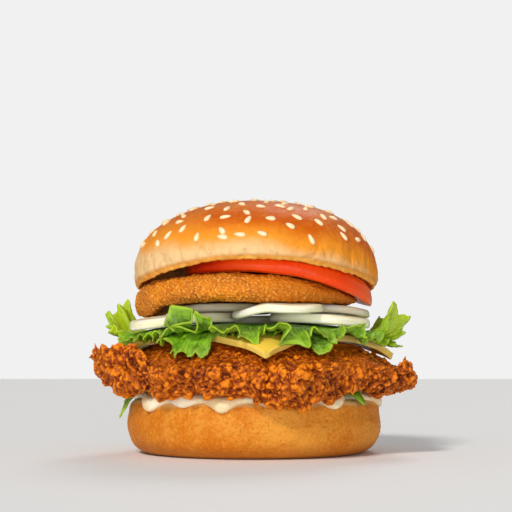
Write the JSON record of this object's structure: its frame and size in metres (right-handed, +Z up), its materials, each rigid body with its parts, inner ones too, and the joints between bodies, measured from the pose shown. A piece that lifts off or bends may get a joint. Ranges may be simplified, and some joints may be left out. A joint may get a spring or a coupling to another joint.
{
  "type": "chicken burger",
  "caption": "Stacked burger: bun heel, sauce, leaf, craggy fried fillet, cheese slice, ruffled leaves, onion rounds, crumbed patty, tomato round and seeded bun crown.",
  "frame": {"origin": "middle of the flat base of the heel, on the surface that the burger stands on", "axes": "+Z up through the stack, -Y towards the shown front, +X to the right of the front"},
  "size_m": [0.1303, 0.1239, 0.0993],
  "materials": {
    "bread_heel": "golden bread crust with fine pits",
    "bread_crown": "browned bread crust, pale towards the rim",
    "sesame": "smooth cream seeds",
    "cream_sauce": "glossy cream sauce with fine specks",
    "lettuce": "waxy green leaf with pale veins",
    "fried_crust": "craggy fried crust, bright crests and dark hollows",
    "crumb_crust": "fine golden breadcrumb crust",
    "cheese": "smooth soft yellow cheese",
    "onion": "moist translucent white onion",
    "tomato": "wet glossy red skin and flesh"
  },
  "bodies": {
    "root": {"bun_heel": "bread_heel", "sauce": "cream_sauce", "leaf_hanging": "lettuce", "fillet": "fried_crust", "cheese": "cheese", "lettuce_lower": "lettuce", "lettuce_upper": "lettuce", "onion_left": "onion", "onion_right": "onion", "onion_back": "onion", "onion_mid": "onion", "onion_far_right": "onion", "onion_front": "onion", "patty": "crumb_crust", "tomato": "tomato", "bun_crown": "bread_crown"}
  },
  "joints": []
}
